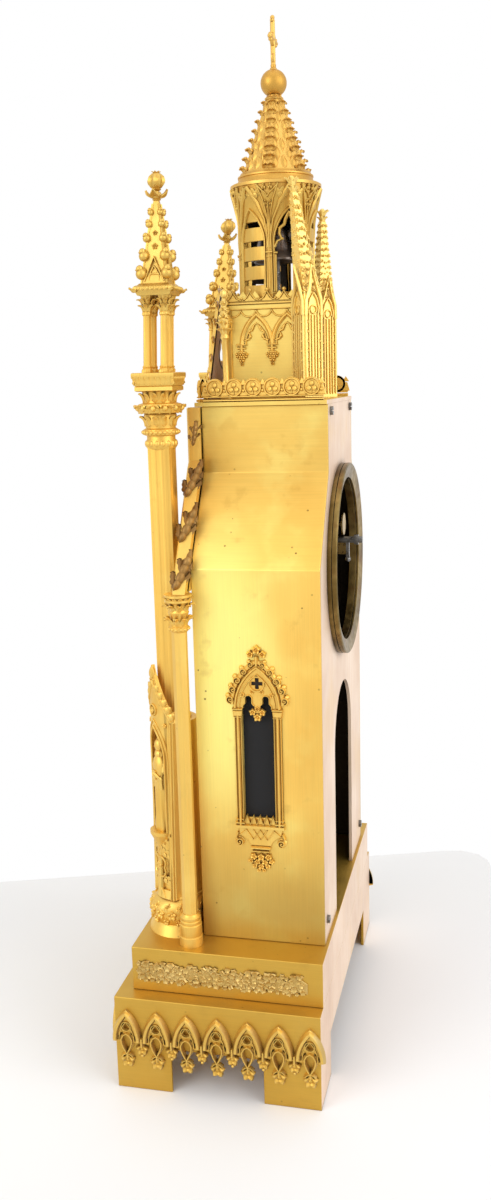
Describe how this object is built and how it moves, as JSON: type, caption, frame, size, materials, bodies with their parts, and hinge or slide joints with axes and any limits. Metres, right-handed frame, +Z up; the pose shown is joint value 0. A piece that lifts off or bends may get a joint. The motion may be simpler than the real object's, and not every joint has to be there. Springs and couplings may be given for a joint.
{
  "type": "gothic revival mantel clock",
  "caption": "Gilt spired clock: stepped plinth, shouldered case, front piers with niches, belfry with bell, striking pendulum movement and hinged dial and rear bezels.",
  "frame": {"origin": "on the table under the middle of the clock's outline", "axes": "+Z up the spire, -Y out of the dial's face, +Y out of the back, +X to the right seen from the front"},
  "size_m": [0.2282, 0.133, 0.5998],
  "materials": {
    "gilt": "matt mercury gilding with burnished edges, faint brushing and small dark stains",
    "antique_gilt": "worn gilding, dark in the hollows",
    "raw_bronze": "ungilt bronze sheet, pinkish, lightly stained",
    "ring_brass": "aged olive brass, satin, polished on its edges",
    "movement_brass": "grained brass",
    "steel": "grey polished steel",
    "blued_steel": "blued steel",
    "bell_bronze": "dark bell bronze",
    "enamel": "white enamel",
    "glass": "clear flat glass",
    "cloth": "dark navy cloth"
  },
  "bodies": {
    "case": {"lower_plinth": "gilt", "upper_plinth": "gilt", "arcade_friezes": "gilt", "case_side_right": "gilt", "case_side_left": "gilt", "case_front": "gilt", "case_top": "gilt", "gallery": "gilt", "window_frames": "gilt", "portal_tracery": "gilt", "piers": "gilt", "niches": "gilt", "statuettes": "gilt", "tall_columns": "gilt", "tabernacles": "gilt", "corner_pinnacles": "gilt", "slender_columns": "gilt", "raking_crests": "gilt", "front_gable": "gilt", "tower_box": "gilt", "tower_pinnacles": "gilt", "lantern": "gilt", "lantern_cornice": "gilt", "spire": "gilt", "ball_and_cross": "gilt", "dial_ring": "gilt", "leaf_friezes": "antique_gilt", "case_back": "raw_bronze", "rear_ring": "ring_brass", "movement_straps": "movement_brass", "movement_plates": "movement_brass", "plate_pillars": "movement_brass", "back_cock": "movement_brass", "bell_post": "steel", "case_screws": "steel", "bell": "bell_bronze", "dial": "enamel", "dark_cloths": "cloth"},
    "centre": {"centre_wheel": "movement_brass", "minute_hand": "blued_steel"},
    "hour": {"hour_wheel": "movement_brass", "hour_hand": "blued_steel"},
    "minute_work": {"minute_wheel": "movement_brass"},
    "second": {"second_wheel": "movement_brass"},
    "going": {"going_barrel": "movement_brass"},
    "third": {"third_wheel": "movement_brass"},
    "escape": {"escape_wheel": "movement_brass"},
    "count": {"count_wheel": "movement_brass"},
    "strike": {"strike_barrel": "movement_brass"},
    "pin": {"pin_wheel": "movement_brass"},
    "fly": {"fly": "movement_brass"},
    "pendulum": {"pendulum_rod": "steel", "pendulum_bob": "movement_brass"},
    "anchor": {"anchor": "steel"},
    "hammer": {"hammer": "steel"},
    "wire": {"hammer_wire": "steel"},
    "regulator": {"regulator_rod": "steel"},
    "front_door": {"front_bezel": "gilt", "dial_glass": "glass"},
    "rear_door": {"rear_bezel": "ring_brass"}
  },
  "joints": [
    {"name": "centre_turn", "type": "hinge", "parent": "case", "child": "centre", "pos_m": [0, 0.015, 0.295], "axis": [0, 1, 0], "continuous": true},
    {"name": "hour_turn", "type": "hinge", "parent": "case", "child": "hour", "pos_m": [0, 0.015, 0.295], "axis": [0, 1, 0], "continuous": true},
    {"name": "minute_work_turn", "type": "hinge", "parent": "case", "child": "minute_work", "pos_m": [0, 0.015, 0.283], "axis": [0, 1, 0], "continuous": true},
    {"name": "second_turn", "type": "hinge", "parent": "case", "child": "second", "pos_m": [-0.00036, 0.015, 0.27925], "axis": [0, 1, 0], "continuous": true},
    {"name": "going_turn", "type": "hinge", "parent": "case", "child": "going", "pos_m": [0.0202, 0.015, 0.28765], "axis": [0, 1, 0], "continuous": true},
    {"name": "third_turn", "type": "hinge", "parent": "case", "child": "third", "pos_m": [0.00437, 0.015, 0.30834], "axis": [0, 1, 0], "continuous": true},
    {"name": "escape_turn", "type": "hinge", "parent": "case", "child": "escape", "pos_m": [0, 0.015, 0.319], "axis": [0, 1, 0], "continuous": true},
    {"name": "count_turn", "type": "hinge", "parent": "case", "child": "count", "pos_m": [-0.00984, 0.015, 0.30729], "axis": [0, 1, 0], "continuous": true},
    {"name": "strike_turn", "type": "hinge", "parent": "case", "child": "strike", "pos_m": [-0.0202, 0.015, 0.28765], "axis": [0, 1, 0], "continuous": true},
    {"name": "pin_turn", "type": "hinge", "parent": "case", "child": "pin", "pos_m": [-0.01875, 0.015, 0.31621], "axis": [0, 1, 0], "continuous": true},
    {"name": "fly_turn", "type": "hinge", "parent": "case", "child": "fly", "pos_m": [-0.01162, 0.015, 0.32333], "axis": [0, 1, 0], "continuous": true},
    {"name": "pendulum_swing", "type": "hinge", "parent": "case", "child": "pendulum", "pos_m": [0, 0.047, 0.3315], "axis": [0, 1, 0], "range_deg": [-4, 4]},
    {"name": "anchor_rock", "type": "hinge", "parent": "case", "child": "anchor", "pos_m": [0, 0.015, 0.3315], "axis": [0, 1, 0], "range_deg": [-4.2, 4.2]},
    {"name": "hammer_swing", "type": "hinge", "parent": "case", "child": "hammer", "pos_m": [0.005, 0.0181, 0.453], "axis": [0, 1, 0], "range_deg": [-14, 1.5]},
    {"name": "wire_pull", "type": "slide", "parent": "case", "child": "wire", "axis": [0, 0, 1], "range_m": [-0.0032, 0.0005]},
    {"name": "regulator_turn", "type": "hinge", "parent": "case", "child": "regulator", "pos_m": [-0.009, 0.0694, 0.305], "axis": [0, 1, 0], "range_deg": [-60, 60]},
    {"name": "front_door_swing", "type": "hinge", "parent": "case", "child": "front_door", "pos_m": [0.0532, -0.01635, 0.295], "axis": [0, 0, 1], "range_deg": [0, 85]},
    {"name": "rear_door_swing", "type": "hinge", "parent": "case", "child": "rear_door", "pos_m": [-0.0592, 0.06045, 0.295], "axis": [0, 0, 1], "range_deg": [0, 110]}
  ],
  "couplings": [
    {"joint": "second_turn", "follows": "centre_turn", "ratio": -0.16667},
    {"joint": "going_turn", "follows": "centre_turn", "ratio": 0.023148},
    {"joint": "third_turn", "follows": "centre_turn", "ratio": -12},
    {"joint": "escape_turn", "follows": "centre_turn", "ratio": 132},
    {"joint": "minute_work_turn", "follows": "centre_turn", "ratio": -0.33333},
    {"joint": "hour_turn", "follows": "centre_turn", "ratio": 0.083333},
    {"joint": "strike_turn", "follows": "count_turn", "ratio": -0.13889},
    {"joint": "pin_turn", "follows": "count_turn", "ratio": -6.875},
    {"joint": "fly_turn", "follows": "count_turn", "ratio": 55},
    {"joint": "anchor_rock", "follows": "pendulum_swing", "ratio": 1},
    {"joint": "wire_pull", "follows": "hammer_swing", "m_per_rad": 0.012}
  ]
}
